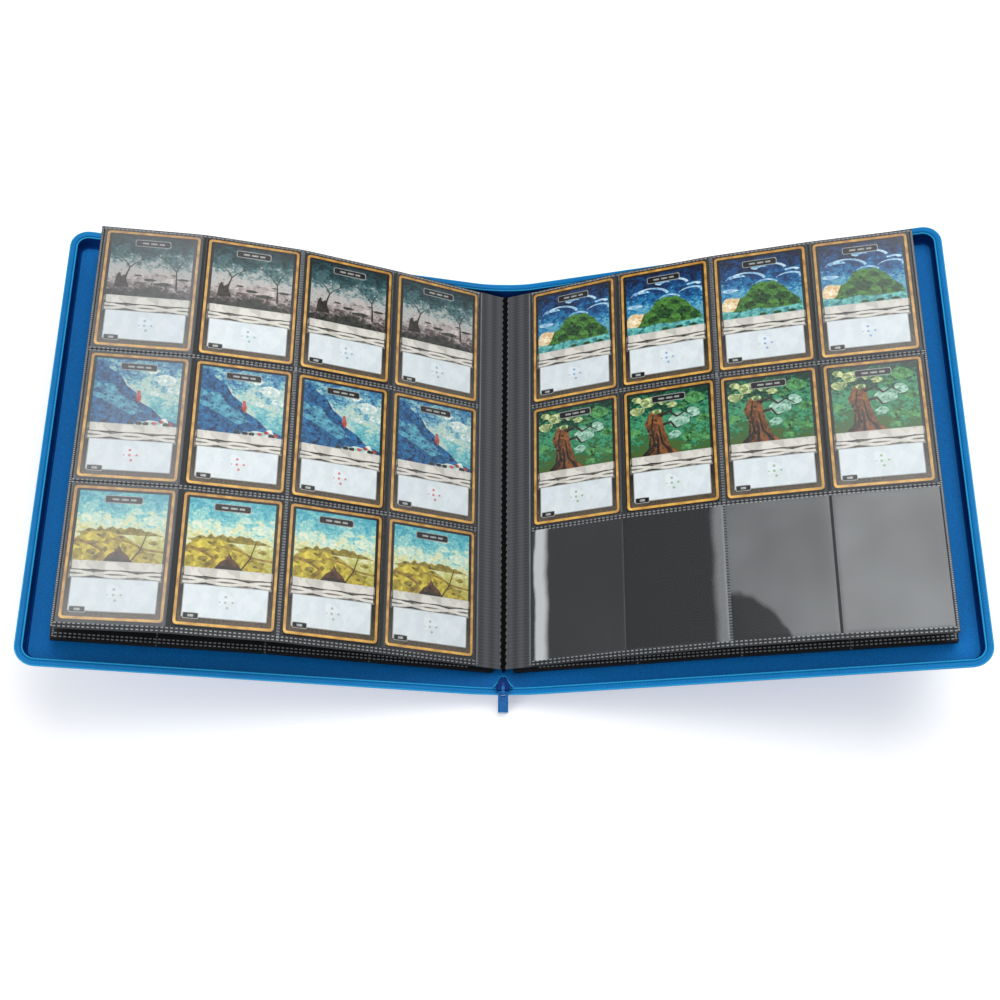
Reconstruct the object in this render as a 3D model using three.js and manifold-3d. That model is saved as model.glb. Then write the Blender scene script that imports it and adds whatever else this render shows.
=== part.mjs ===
// Zip-up trading card binder, lying open in a shallow V on the flat underside of its spine.
// Millimetres, +Z up, +Y towards the top edge of the pages, +X to the reader's right.
// The origin is the centre of the spine's underside.
//
// Each half is built once, in a side frame whose +X runs outwards from the spine, and the left
// half is that same build turned half round about Z. Inside a side frame a leaf or cover that
// rises by an angle is turned by minus that angle about Y.
import * as THREE from "three";
import { mergeVertices } from "three/addons/utils/BufferGeometryUtils.js";
import Module from "manifold-3d";

const { degToRad } = THREE.MathUtils;
const wasm = await Module();
wasm.setup();

// Clearances
const SEAT_GAP = 0.3; // between pieces that lie on each other
const FOLD_GAP = 0.7; // between the spine's skin and a cover's skin, at the fold
const CLOSE_GAP = 1; // from each zipper chain to the middle plane when the binder is shut
const LEAF_ROOM = 1; // from each top leaf's film to the middle plane when the binder is shut
const BUNDLE_ROOM = 1.6; // between a top leaf and the lower leaves when the binder is shut
const LINING_ROOM = 2.1; // between the lower leaves and the lining when the binder is shut
const MERGE_DISTANCE = 1e-4; // vertices closer than this are one

// Cards and pockets
const CARD_WIDTH = 63;
const CARD_HEIGHT = 88;
const CARD_THICKNESS = 0.4;
const CARD_CORNER = 3;
const COLUMNS = 4;
const ROWS = 3;
const COLUMN_WELD = 4; // page left between cards side by side
const ROW_WELD = 4.5; // page left between cards one above the other
const ROOT_STRIP = 17.5; // plain margin between the binding and the first pocket
const EDGE_STRIP = 1.7; // extra margin on the outer edge of a page
const FOOT_STRIP = 3; // extra margin along the lower edge of a page
const CORE_THICKNESS = 0.6;
const FILM_THICKNESS = 0.3;
const BUNDLE_THICKNESS = 5; // the filled leaves under the top leaf, pressed together
const BUNDLE_SLIP = 0.5; // how far those leaves have slipped towards the reader
const BUNDLE_ROOT_LIFT = 1.2; // from the spine's lining up to the lower leaves' bound edge
const LEAF_ROOT_LIFT = 2.5; // from the lower leaves up to the middle of the top leaf's bound edge
const STUB_LENGTH = 2.6; // sewn edge that the right-hand top leaf turns on
const STUB_GAP = 1; // room for the turning leaf's edge beside the stub
const BINDING_THICKNESS = 1.6; // between the leaves of the two halves

// Cover layers, from the outside in
const SKIN_THICKNESS = 0.8;
const BOARD_THICKNESS = 1.8;
const LINING_THICKNESS = 0.6;
const FORE_MARGIN = 16.4; // lining between the leaves' outer edge and the zipper
const FRONT_MARGIN = 12.4; // lining between the pages' lower edge and the zipper
const BACK_MARGIN = 4.9; // lining between the pages' upper edge and the zipper
const CORNER_RADIUS = 13;
const SKIN_INSET = 1; // the skin's edge, in from the zipper's outer edge

// Zipper and the fabric wall that carries it
const CHAIN_WIDTH = 5.2;
const CHAIN_THICKNESS = 2.2;
const WALL_THICKNESS = 1.6;
const SLIDER_WIDTH = 9.6;
const SLIDER_FRONT_WIDTH = 6.8;
const SLIDER_BACK_WIDTH = 6;
const SLIDER_LENGTH = 10;
const SLIDER_WAIST = 5.5; // from the front face to the widest place
const SLIDER_THICKNESS = 4;
const SLIDER_TRAVEL = 4;
const SLIDER_SETBACK = 2.2; // from the zipper's outer edge to the slider's front face
const LUG_RADIUS = 1.9;
const LUG_WIDTH = 2.2;
const LUG_OVERHANG = 1.6; // from the slider's front face out to the tab's pin
const LUG_ROOT = 1; // how far the lug runs into the slider's body
const PIN_DEPTH = 0.2; // from the slider's top face down to the tab's pin
const TAB_WIDTH = 6.6;
const TAB_LENGTH = 18; // from the pin to the tip
const TAB_THICKNESS = 1.2;
const TAB_SLOT = 3.1; // depth of the slot that takes the lug
const PIN_RADIUS = 0.7;
const PIN_CLEARANCE = 0.35;
const PIN_INSET = 0.2; // from the tab's side to the end of its pin
const TAB_DROOP = 55; // degrees below level, hanging over the zipper

// Rest pose, in degrees above level
const LEFT = {
  name: "left",
  coverTilt: 14.1,
  columnSlopes: [26.1, 23.5, 16, 8.7],
  bundleSlopes: [17.5, 13],
  filledRows: 3,
};
const RIGHT = {
  name: "right",
  coverTilt: 16.5,
  columnSlopes: [24.4, 20.8, 16.6, 14.15],
  bundleSlopes: [17.6, 15.7],
  filledRows: 2,
};

// Facets
const ARC_SEGMENTS = 6; // in each rounded corner and each lug curve
const CARD_ARC_SEGMENTS = 3;
const PIN_SEGMENTS = 12;

// Worked out from the sizes above
const COLUMN_PITCH = CARD_WIDTH + COLUMN_WELD;
const ROW_PITCH = CARD_HEIGHT + ROW_WELD;
const PAGE_HEIGHT = FOOT_STRIP + ROWS * ROW_PITCH;
const LEAF_WIDTH = ROOT_STRIP + COLUMNS * COLUMN_PITCH + EDGE_STRIP;
const CARD_BED = CORE_THICKNESS / 2 + SEAT_GAP;
const FILM_BED = CARD_BED + CARD_THICKNESS + SEAT_GAP;
const LEAF_TOP = FILM_BED + FILM_THICKNESS;

const HINGE_Z = SKIN_THICKNESS / 2;
const BOARD_Z = SKIN_THICKNESS + SEAT_GAP;
const LINING_Z = BOARD_Z + BOARD_THICKNESS + SEAT_GAP;
const LINING_TOP = LINING_Z + LINING_THICKNESS;

// Lanes: how far each layer lies from the middle plane when the binder is shut
const LEAF_LANE = LEAF_TOP + LEAF_ROOM;
const BUNDLE_LANE = LEAF_LANE + CORE_THICKNESS / 2 + BUNDLE_ROOM + BUNDLE_THICKNESS / 2;
const LINING_LANE = BUNDLE_LANE + BUNDLE_THICKNESS / 2 + LINING_ROOM;
const SPINE_HALF = LINING_LANE + LINING_TOP - HINGE_Z;
const CHAIN_TOP = SPINE_HALF + HINGE_Z - CLOSE_GAP;
const CHAIN_Z = CHAIN_TOP - CHAIN_THICKNESS;
const WALL_INSET = (CHAIN_WIDTH - WALL_THICKNESS) / 2;
const BOARD_INSET = WALL_INSET + WALL_THICKNESS + SEAT_GAP;

const BUNDLE_ROOT_Z = LINING_TOP + BUNDLE_ROOT_LIFT + BUNDLE_THICKNESS / 2;
const LEAF_ROOT_Z = BUNDLE_ROOT_Z + BUNDLE_THICKNESS / 2 + LEAF_ROOT_LIFT;

const COVER_REACH = LEAF_LANE + LEAF_WIDTH + FORE_MARGIN + CHAIN_WIDTH - SPINE_HALF;
const COVER_HEIGHT = PAGE_HEIGHT + FRONT_MARGIN + BACK_MARGIN + 2 * CHAIN_WIDTH;
const PAGE_CENTRE_Y = (FRONT_MARGIN - BACK_MARGIN) / 2;
const FRONT_Y = -COVER_HEIGHT / 2;

const SLIDER_Z = CHAIN_TOP + SEAT_GAP;
const SLIDER_FRONT_Y = FRONT_Y + SLIDER_SETBACK;
const PIN_Y = SLIDER_FRONT_Y - LUG_OVERHANG;
const PIN_Z = SLIDER_Z + SLIDER_THICKNESS - PIN_DEPTH;
const WALL_START = PIN_Z + LUG_RADIUS + SLIDER_TRAVEL + 2 * SEAT_GAP;

// Materials
function finish(color, roughness, extra = {}) {
  return new THREE.MeshStandardMaterial({ color, roughness, metalness: 0, ...extra });
}

const looks = {
  skin: () => finish(0x1667b8, 0.55),
  board: () => finish(0x8d8577, 0.9),
  lining: () => finish(0x0f62ad, 0.7),
  wall: () => finish(0x0f4f98, 0.8),
  chain: () => finish(0x2189d2, 0.5),
  page: () => finish(0x3c3e41, 0.6),
  film: () => finish(0xdfe6ea, 0.12, { transparent: true, opacity: 0.3 }),
  card: () => finish(0xb9bfb4, 0.45),
  binding: () => finish(0x121214, 0.85),
  slider: () => finish(0x0f4b9c, 0.4, { metalness: 0.3 }),
  tab: () => finish(0x1d7bcb, 0.5),
};

function piece(parent, name, geometry, look) {
  const mesh = new THREE.Mesh(geometry, looks[look]());
  mesh.name = name;
  parent.add(mesh);
  return mesh;
}

// A box given by its low and high corners.
function slab(low, high) {
  const size = high.map((value, axis) => value - low[axis]);
  const middle = high.map((value, axis) => (value + low[axis]) / 2);
  return new THREE.BoxGeometry(...size).translate(...middle);
}

// A flat outline raised from one level to another.
function raised(shape, lowZ, highZ, curveSegments = ARC_SEGMENTS) {
  const options = { depth: highZ - lowZ, bevelEnabled: false, curveSegments };
  return new THREE.ExtrudeGeometry(shape, options).translate(0, 0, lowZ);
}

// An outline in the YZ plane, stretched along X between two places.
function stretchedAlongX(shape, lowX, highX) {
  const options = { depth: highX - lowX, bevelEnabled: false, curveSegments: ARC_SEGMENTS };
  const geometry = new THREE.ExtrudeGeometry(shape, options);
  geometry.rotateZ(Math.PI / 2);
  geometry.rotateY(Math.PI / 2);
  return geometry.translate(lowX, 0, 0);
}

function polygon(points) {
  return new THREE.Shape(points.map(([x, y]) => new THREE.Vector2(x, y)));
}

function solidOf(geometry) {
  const bare = geometry.clone().deleteAttribute("normal").deleteAttribute("uv");
  const merged = mergeVertices(bare, MERGE_DISTANCE);
  return new wasm.Manifold(
    new wasm.Mesh({
      numProp: 3,
      vertProperties: merged.attributes.position.array,
      triVerts: new Uint32Array(merged.index.array),
    }),
  );
}

// Two overlapping closed geometries as one.
function joined(first, second) {
  const mesh = solidOf(first).add(solidOf(second)).getMesh();
  const geometry = new THREE.BufferGeometry();
  geometry.setAttribute("position", new THREE.BufferAttribute(mesh.vertProperties, 3));
  geometry.setIndex(new THREE.BufferAttribute(mesh.triVerts, 1));
  geometry.computeVertexNormals();
  return geometry;
}

function roundedCard() {
  const x = CARD_WIDTH / 2;
  const y = CARD_HEIGHT / 2;
  const r = CARD_CORNER;
  const shape = new THREE.Shape();
  shape.absarc(x - r, r - y, r, -Math.PI / 2, 0);
  shape.absarc(x - r, y - r, r, 0, Math.PI / 2);
  shape.absarc(r - x, y - r, r, Math.PI / 2, Math.PI);
  shape.absarc(r - x, r - y, r, Math.PI, 1.5 * Math.PI);
  return shape;
}

// Adds a cover's edge to a shape or runs it back: straight, round, straight, round, straight.
function traceCoverEdge(shape, inset, startX, backwards = false) {
  const x = COVER_REACH - inset;
  const y = COVER_HEIGHT / 2 - inset;
  const r = CORNER_RADIUS - inset;
  if (backwards) {
    shape.lineTo(startX, y);
    shape.absarc(x - r, y - r, r, Math.PI / 2, 0, true);
    shape.absarc(x - r, r - y, r, 0, -Math.PI / 2, true);
    shape.lineTo(startX, -y);
  } else {
    shape.moveTo(startX, -y);
    shape.lineTo(x - r, -y);
    shape.absarc(x - r, r - y, r, -Math.PI / 2, 0);
    shape.absarc(x - r, y - r, r, 0, Math.PI / 2);
    shape.lineTo(startX, y);
  }
}

function coverOutline(inset, startX) {
  const shape = new THREE.Shape();
  traceCoverEdge(shape, inset, startX);
  return shape;
}

// The strip between two insets, round the three free edges of a cover.
function coverRim(inset, width) {
  const shape = new THREE.Shape();
  traceCoverEdge(shape, inset, WALL_START);
  traceCoverEdge(shape, inset + width, WALL_START, true);
  return shape;
}

function addCover(half, side) {
  const cover = new THREE.Group();
  cover.position.set(SPINE_HALF, 0, HINGE_Z);
  cover.rotation.y = -degToRad(side.coverTilt);
  half.add(cover);
  const layer = (name, look, shape, low, high) =>
    piece(cover, `${side.name}_${name}`, raised(shape, low - HINGE_Z, high - HINGE_Z), look);

  const foldStart = LINING_TOP + FOLD_GAP;
  layer("cover_skin", "skin", coverOutline(SKIN_INSET, FOLD_GAP), 0, SKIN_THICKNESS);
  layer("cover_board", "board", coverOutline(BOARD_INSET, foldStart), BOARD_Z, BOARD_Z + BOARD_THICKNESS);
  layer("cover_lining", "lining", coverOutline(BOARD_INSET, foldStart), LINING_Z, LINING_TOP);
  layer("gusset_wall", "wall", coverRim(WALL_INSET, WALL_THICKNESS), BOARD_Z, CHAIN_Z - SEAT_GAP);
  layer("zipper_chain", "chain", coverRim(0, CHAIN_WIDTH), CHAIN_Z, CHAIN_TOP);
}

function addSpine(binder) {
  const skinX = SPINE_HALF - FOLD_GAP;
  const skinY = COVER_HEIGHT / 2 - SKIN_INSET;
  const liningY = COVER_HEIGHT / 2 - BOARD_INSET;
  const layer = (name, look, x, y, low, high) =>
    piece(binder, `spine_${name}`, slab([-x, -y, low], [x, y, high]), look);

  layer("skin", "skin", skinX, skinY, 0, SKIN_THICKNESS);
  layer("board", "board", LINING_LANE, liningY, BOARD_Z, BOARD_Z + BOARD_THICKNESS);
  layer("lining", "lining", skinX, liningY, LINING_Z, LINING_TOP);
}

// The short stretch of wall and zipper across each end of the spine.
function addSpineGussets(binder) {
  const halfLength = LINING_LANE - 2 * SEAT_GAP;
  const wallLow = WALL_INSET;
  const wallHigh = WALL_INSET + WALL_THICKNESS;
  const section = polygon([
    [wallLow, BOARD_Z],
    [wallHigh, BOARD_Z],
    [wallHigh, CHAIN_Z],
    [CHAIN_WIDTH, CHAIN_Z],
    [CHAIN_WIDTH, CHAIN_TOP],
    [0, CHAIN_TOP],
    [0, CHAIN_Z],
    [wallLow, CHAIN_Z],
  ]);
  const front = stretchedAlongX(section, -halfLength, halfLength).translate(0, FRONT_Y, 0);
  const back = front.clone().rotateZ(Math.PI);
  piece(binder, "spine_gusset_front", front, "wall");
  piece(binder, "spine_gusset_back", back, "wall");
}

// The sewn tape that every leaf is bound to, standing on the spine's lining. It is thin enough
// for the top leaves' bound edges to sink past it as the covers close.
function addBinding(binder) {
  const half = BINDING_THICKNESS / 2;
  const foot = LINING_TOP + SEAT_GAP;
  const top = LEAF_ROOT_Z + CORE_THICKNESS;
  const lowY = PAGE_CENTRE_Y - PAGE_HEIGHT / 2;
  const tape = slab([-half, lowY, foot], [half, lowY + PAGE_HEIGHT, top]);
  piece(binder, "page_binding", tape, "binding");
}

// A frame at the place where a leaf is bound, or where it bends, rising by an angle.
function bendFrame(parent, x, z, rise) {
  const frame = new THREE.Group();
  frame.position.set(x, 0, z);
  frame.rotation.y = -degToRad(rise);
  parent.add(frame);
  return frame;
}

// World +Y is a side frame's -Y on the left half.
const ySign = (side) => (side === LEFT ? -1 : 1);

function addCards(frame, side, column, middleX) {
  for (let row = 0; row < side.filledRows; row += 1) {
    const name = `${side.name}_card_r${row + 1}_c${column + 1}`;
    const card = piece(frame, name, raised(roundedCard(), 0, CARD_THICKNESS, CARD_ARC_SEGMENTS), "card");
    const rowY = PAGE_CENTRE_Y + FOOT_STRIP / 2 + ((ROWS - 1) / 2 - row) * ROW_PITCH;
    card.position.set(middleX, ySign(side) * rowY, CARD_BED);
  }
}

// The top leaf: one stiff panel for each column of pockets, bending at the welds between them.
function addTopLeaf(half, side) {
  const centreY = ySign(side) * PAGE_CENTRE_Y;
  const [low, high] = [centreY - PAGE_HEIGHT / 2, centreY + PAGE_HEIGHT / 2];
  const halfCore = CORE_THICKNESS / 2;
  const stub = side === RIGHT ? STUB_LENGTH : 0;
  let frame = bendFrame(half, LEAF_LANE, LEAF_ROOT_Z, side.columnSlopes[0]);
  if (stub) {
    const sewnEdge = slab([SEAT_GAP, low, -halfCore], [stub - STUB_GAP, high, halfCore]);
    piece(frame, `${side.name}_leaf_stub`, sewnEdge, "page");
  }
  for (let column = 0; column < COLUMNS; column += 1) {
    const pocketStart = column === 0 ? ROOT_STRIP : 0;
    const panelStart = column === 0 ? stub : 0;
    const pocketEnd = pocketStart + COLUMN_PITCH;
    const panelEnd = pocketEnd + (column === COLUMNS - 1 ? EDGE_STRIP : 0);
    const panel = slab([panelStart + SEAT_GAP, low, -halfCore], [panelEnd - SEAT_GAP, high, halfCore]);
    const film = slab([pocketStart + SEAT_GAP, low, FILM_BED], [panelEnd - SEAT_GAP, high, LEAF_TOP]);
    piece(frame, `${side.name}_leaf_panel_${column + 1}`, panel, "page");
    piece(frame, `${side.name}_pocket_film_${column + 1}`, film, "film");
    addCards(frame, side, column, pocketStart + COLUMN_PITCH / 2);
    if (column < COLUMNS - 1) {
      const bend = side.columnSlopes[column + 1] - side.columnSlopes[column];
      frame = bendFrame(frame, pocketEnd, 0, bend);
    }
  }
}

// The leaves under the top leaf, pressed together, bending at the middle weld.
function addLowerLeaves(half, side) {
  const centreY = ySign(side) * (PAGE_CENTRE_Y - BUNDLE_SLIP);
  const [low, high] = [centreY - PAGE_HEIGHT / 2, centreY + PAGE_HEIGHT / 2];
  const halfBundle = BUNDLE_THICKNESS / 2;
  const innerLength = ROOT_STRIP + 2 * COLUMN_PITCH;
  const outerLength = LEAF_WIDTH - innerLength;
  const inner = bendFrame(half, BUNDLE_LANE, BUNDLE_ROOT_Z, side.bundleSlopes[0]);
  const outer = bendFrame(inner, innerLength, 0, side.bundleSlopes[1] - side.bundleSlopes[0]);
  const leaves = (length) =>
    slab([SEAT_GAP, low, -halfBundle], [length - SEAT_GAP, high, halfBundle]);
  piece(inner, `${side.name}_lower_leaves_inner`, leaves(innerLength), "page");
  piece(outer, `${side.name}_lower_leaves_outer`, leaves(outerLength - BUNDLE_LANE + LEAF_LANE), "page");
}

// The slider's body narrows to the end that carries the lug for the pull tab.
function addSlider(binder) {
  const front = SLIDER_FRONT_WIDTH / 2;
  const widest = SLIDER_WIDTH / 2;
  const back = SLIDER_BACK_WIDTH / 2;
  const outline = polygon([
    [-front, 0],
    [front, 0],
    [widest, SLIDER_WAIST],
    [back, SLIDER_LENGTH],
    [-back, SLIDER_LENGTH],
    [-widest, SLIDER_WAIST],
  ]);
  const body = raised(outline, SLIDER_Z, SLIDER_Z + SLIDER_THICKNESS).translate(0, SLIDER_FRONT_Y, 0);

  const lug = new THREE.Shape();
  lug.moveTo(LUG_OVERHANG + LUG_ROOT, -LUG_RADIUS);
  lug.lineTo(0, -LUG_RADIUS);
  lug.absarc(0, 0, LUG_RADIUS, -Math.PI / 2, Math.PI / 2, true);
  lug.lineTo(LUG_OVERHANG, LUG_RADIUS);
  lug.lineTo(LUG_OVERHANG + LUG_ROOT, 0);
  lug.holes.push(new THREE.Path().absarc(0, 0, PIN_RADIUS + PIN_CLEARANCE, 0, 2 * Math.PI));
  const lugSolid = stretchedAlongX(lug, -LUG_WIDTH / 2, LUG_WIDTH / 2).translate(0, PIN_Y, PIN_Z);
  piece(binder, "zipper_slider", joined(body, lugSolid), "slider");
}

// A flat tab, slotted at one end, with its pin through the slider's lug.
function addPullTab(binder) {
  const half = TAB_WIDTH / 2;
  const slotHalf = LUG_WIDTH / 2 + PIN_CLEARANCE;
  const thin = TAB_THICKNESS / 2;
  const outline = polygon([
    [-slotHalf, PIN_RADIUS],
    [-half, PIN_RADIUS],
    [-half, -TAB_LENGTH],
    [half, -TAB_LENGTH],
    [half, PIN_RADIUS],
    [slotHalf, PIN_RADIUS],
    [slotHalf, -TAB_SLOT],
    [-slotHalf, -TAB_SLOT],
  ]);
  const pinLength = TAB_WIDTH - 2 * PIN_INSET;
  const pin = new THREE.CylinderGeometry(PIN_RADIUS, PIN_RADIUS, pinLength, PIN_SEGMENTS);
  pin.rotateZ(Math.PI / 2);
  const tab = piece(binder, "pull_tab", joined(raised(outline, -thin, thin), pin), "tab");
  tab.position.set(0, PIN_Y, PIN_Z);
  tab.rotation.x = degToRad(TAB_DROOP);
}

const binder = new THREE.Group();
addSpine(binder);
addSpineGussets(binder);
addBinding(binder);
for (const side of [LEFT, RIGHT]) {
  const half = new THREE.Group();
  half.rotation.z = side === LEFT ? Math.PI : 0;
  binder.add(half);
  addCover(half, side);
  addTopLeaf(half, side);
  addLowerLeaves(half, side);
}
addSlider(binder);
addPullTab(binder);

export default binder;
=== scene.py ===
"""Looks of the zip-up trading card binder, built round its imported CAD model.

Sizes are in millimetres and are turned to metres where a mesh is made. Each half of the binder
is described once, with x running outwards from the spine, and the left half is mirrored.
"""

import math
import random

import bpy
import bmesh
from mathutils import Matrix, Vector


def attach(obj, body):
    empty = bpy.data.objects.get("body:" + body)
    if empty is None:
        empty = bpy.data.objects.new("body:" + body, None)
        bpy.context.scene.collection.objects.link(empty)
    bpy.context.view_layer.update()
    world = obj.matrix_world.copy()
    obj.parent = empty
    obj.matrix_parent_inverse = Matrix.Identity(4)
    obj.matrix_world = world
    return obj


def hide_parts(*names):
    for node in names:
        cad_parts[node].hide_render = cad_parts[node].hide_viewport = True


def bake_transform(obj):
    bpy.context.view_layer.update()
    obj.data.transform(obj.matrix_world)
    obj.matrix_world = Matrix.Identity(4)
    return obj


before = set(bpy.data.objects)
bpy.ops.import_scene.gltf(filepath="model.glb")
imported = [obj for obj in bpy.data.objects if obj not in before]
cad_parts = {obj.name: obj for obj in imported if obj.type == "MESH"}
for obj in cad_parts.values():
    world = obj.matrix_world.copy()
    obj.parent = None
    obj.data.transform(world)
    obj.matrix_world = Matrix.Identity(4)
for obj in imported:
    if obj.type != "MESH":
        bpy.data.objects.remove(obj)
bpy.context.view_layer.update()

MM = 0.001
CARD_WIDTH, CARD_HEIGHT, CARD_CORNER, CARD_THICKNESS = 63.0, 88.0, 3.0, 0.4
COLUMNS, ROWS = 4, 3
COLUMN_PITCH, ROW_PITCH = 67.0, 92.5
ROOT_STRIP, EDGE_STRIP, FOOT_STRIP = 17.5, 1.7, 3.0
LEAF_WIDTH = ROOT_STRIP + COLUMNS * COLUMN_PITCH + EDGE_STRIP
PAGE_Y = 5.25
PAGE_LOW = PAGE_Y - ROWS * ROW_PITCH / 2 - FOOT_STRIP
PAGE_HIGH = PAGE_Y + ROWS * ROW_PITCH / 2
SHEET_HALF = 0.3
CARD_BED = 0.6
LEAF_ROOT = (2.6, 12.5)
LOWER_ROOT = (7.0, 7.5)
LOWER_SLIP = 0.5
STUB_LENGTH = 2.6

FOLD_X, FOLD_Z = 15.0, 0.4
FOLD_EASE, LEAF_EASE, LOWER_EASE = 12.0, 7.0, 9.0
COVER_REACH, COVER_HEIGHT, COVER_CORNER = 296.4, 308.2, 13.0
COVER_WIDTH = FOLD_X + COVER_REACH
LINING_TOP = 3.8
SLIDER_Y, SLIDER_Z = -151.9, 14.7
PIN_Y, PIN_Z, TAB_DROOP = -153.5, 18.5, 55.0

SIDES = {
    "left": {
        "sign": -1,
        "tilt": 14.1,
        "slopes": [26.1, 23.5, 16.0, 8.7],
        "lower": [17.5, 13.0],
        # How strong the whitish veil of painted glare is on each column's films.
        "painted_glare": [0.02, 0.0, 0.0, 0.08],
        "art": ["mist", "peaks", "fields"],
    },
    "right": {
        "sign": 1,
        "tilt": 16.5,
        "slopes": [24.4, 20.8, 16.6, 14.15],
        "lower": [17.6, 15.7],
        # How strong the whitish veil of painted glare is on each column's films.
        "painted_glare": [0.01, 0.0, 0.015, 0.04],
        "art": ["island", "forest", None],
    },
}


# ---------------------------------------------------------------- materials


def tint(colour):
    """A colour given as screen values from 0 to 255, as linear light."""
    linear = [((c / 255 + 0.055) / 1.055) ** 2.4 if c > 10 else c / 3294.6 for c in colour]
    return (*linear, 1.0)


class Look:
    """A material and short names for the nodes that pattern it over its chart, in metres."""

    def __init__(self, name, colour, roughness, specular=0.5):
        self.material = bpy.data.materials.new(name)
        self.material.use_nodes = True
        self.tree = self.material.node_tree
        self.shader = self.tree.nodes["Principled BSDF"]
        self.set("Base Color", tint(colour))
        self.set("Roughness", roughness)
        self.set("Specular IOR Level", specular)
        self.chart = self.node("ShaderNodeUVMap", uv_map="Chart").outputs[0]

    def set(self, socket, value):
        self.shader.inputs[socket].default_value = value

    def node(self, kind, links=(), **settings):
        made = self.tree.nodes.new(kind)
        for key, value in settings.items():
            setattr(made, key, value)
        for socket, source in dict(links).items():
            if isinstance(source, bpy.types.NodeSocket):
                self.tree.links.new(source, made.inputs[socket])
            else:
                made.inputs[socket].default_value = source
        return made

    def axis(self, index):
        """Distance across the chart for 0 and up it for 1."""
        return self.node("ShaderNodeSeparateXYZ", {0: self.chart}).outputs[index]

    def noise(self, scale, detail=3.0, distortion=0.0, output="Fac"):
        values = {"Vector": self.chart, "Scale": scale, "Detail": detail, "Distortion": distortion}
        return self.node("ShaderNodeTexNoise", values).outputs[output]

    def cells(self, vector, scale, output):
        made = self.node("ShaderNodeTexVoronoi", {"Vector": vector, "Scale": scale})
        return made.outputs[output]

    def dabs(self, scale):
        """A brush dab's own tone, from 0 to 1, spread over small uneven cells."""
        links = {0: self.noise(scale * 0.5, 2.0, output="Color"), 1: (1.6 / scale,) * 3, 2: self.chart}
        moved = self.node("ShaderNodeVectorMath", links, operation="MULTIPLY_ADD")
        tones = self.cells(moved.outputs[0], scale, "Color")
        return self.node("ShaderNodeSeparateColor", {0: tones}).outputs[0]

    def math(self, operation, first, second=0.0, third=0.0):
        made = self.node("ShaderNodeMath", {0: first, 1: second, 2: third}, operation=operation)
        return made.outputs[0]

    def plus(self, first, second):
        return self.math("ADD", first, second)

    def times(self, first, second):
        return self.math("MULTIPLY", first, second)

    def scaled(self, value, share, base):
        """value times share, added to base."""
        return self.math("MULTIPLY_ADD", value, share, base)

    def spread(self, value, low, high):
        """value from 0 to 1 spread between two numbers."""
        return self.scaled(value, high - low, low)

    def wave(self, axis, pitch):
        """A sine along one axis, from -1 to 1; pitch is in millimetres."""
        return self.math("SINE", self.times(self.axis(axis), 2 * math.pi / (pitch * MM)))

    def soft_step(self, value, low, high):
        """0 below low and 1 above high, smoothly; low may be the larger."""
        links = {"Value": value, "From Min": low, "From Max": high}
        return self.node("ShaderNodeMapRange", links, interpolation_type="SMOOTHSTEP").outputs[0]

    def paint(self, socket, source):
        self.tree.links.new(source, self.shader.inputs[socket])

    def colour(self, value, stops):
        """Colours the material by a value: (position, colour) stops in rising order."""
        made = self.node("ShaderNodeValToRGB", {"Fac": value})
        points = made.color_ramp.elements
        while len(points) < len(stops):
            points.new(0.5)
        for point, (at, shade) in zip(points, stops):
            point.position = at
            point.color = tint(shade)
        self.paint("Base Color", made.outputs["Color"])

    def gloss(self, value, low, high):
        self.paint("Roughness", self.spread(value, low, high))

    def bump(self, height, strength, distance):
        links = {"Height": height, "Strength": strength, "Distance": distance}
        normal = self.node("ShaderNodeBump", links).outputs[0]
        self.paint("Normal", normal)
        return normal


def leatherette(name, dark, light, roughness, grain=900, depth=0.00025):
    look = Look(name, light, roughness, 0.15)
    pores = look.cells(look.chart, grain, "Distance")
    fine = look.noise(grain * 1.6, 4)
    look.colour(look.scaled(pores, 0.5, look.times(look.noise(9, 4), 0.3)), [(0.1, dark), (0.5, light)])
    look.gloss(fine, roughness - 0.1, roughness + 0.12)
    look.bump(look.plus(pores, look.times(fine, 0.5)), 0.45, depth)
    return look.material


def woven(name, dark, light, roughness, pitch):
    """Fine crosswise threads; pitch is in millimetres."""
    look = Look(name, light, roughness, 0.1)
    weave = look.scaled(look.times(look.wave(0, pitch), look.wave(1, pitch)), 0.5, 0.5)
    worn = look.noise(60, 5)
    look.colour(look.scaled(weave, 0.5, look.times(worn, 0.5)), [(0.2, dark), (0.8, light)])
    look.gloss(worn, roughness - 0.08, roughness + 0.08)
    look.bump(weave, 0.4, 0.0002)
    return look.material


def speckled(name, dark, light, roughness, grain, specular=0.5):
    """A hard surface with fine mottling and slight unevenness."""
    look = Look(name, light, roughness, specular)
    fine = look.noise(grain, 4)
    shade = look.scaled(fine, 0.6, look.times(look.noise(grain / 30), 0.4))
    look.colour(shade, [(0.35, dark), (0.65, light)])
    look.gloss(fine, roughness - 0.08, roughness + 0.08)
    look.bump(fine, 0.3, 0.00008)
    return look.material


def ribbed_sheet(name):
    """Charcoal sheet with a fine embossed grain, ribbed across the margin beside the spine."""
    look = Look(name, (44, 46, 49), 0.5, 0.25)
    margin = look.math("LESS_THAN", look.axis(0), ROOT_STRIP * MM)
    ribbing = look.times(look.scaled(look.wave(1, 2.3), 0.5, 0.5), margin)
    # Soft upright bands across the margin: painted light and shade of the sheet's gentle folds there.
    fold_shading = look.times(look.scaled(look.wave(0, 8.0), 0.5, 0.5), margin)
    grain = look.noise(1500)
    shade = look.scaled(grain, 0.3, look.times(ribbing, 0.06))
    shade = look.scaled(fold_shading, 0.12, look.scaled(margin, 0.14, shade))
    look.colour(shade, [(0.05, (33, 35, 37)), (0.25, (47, 49, 52)), (0.7, (104, 106, 110))])
    look.gloss(grain, 0.42, 0.6)
    look.bump(look.scaled(ribbing, 0.8, grain), 0.12, 0.00005)
    return look.material


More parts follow.
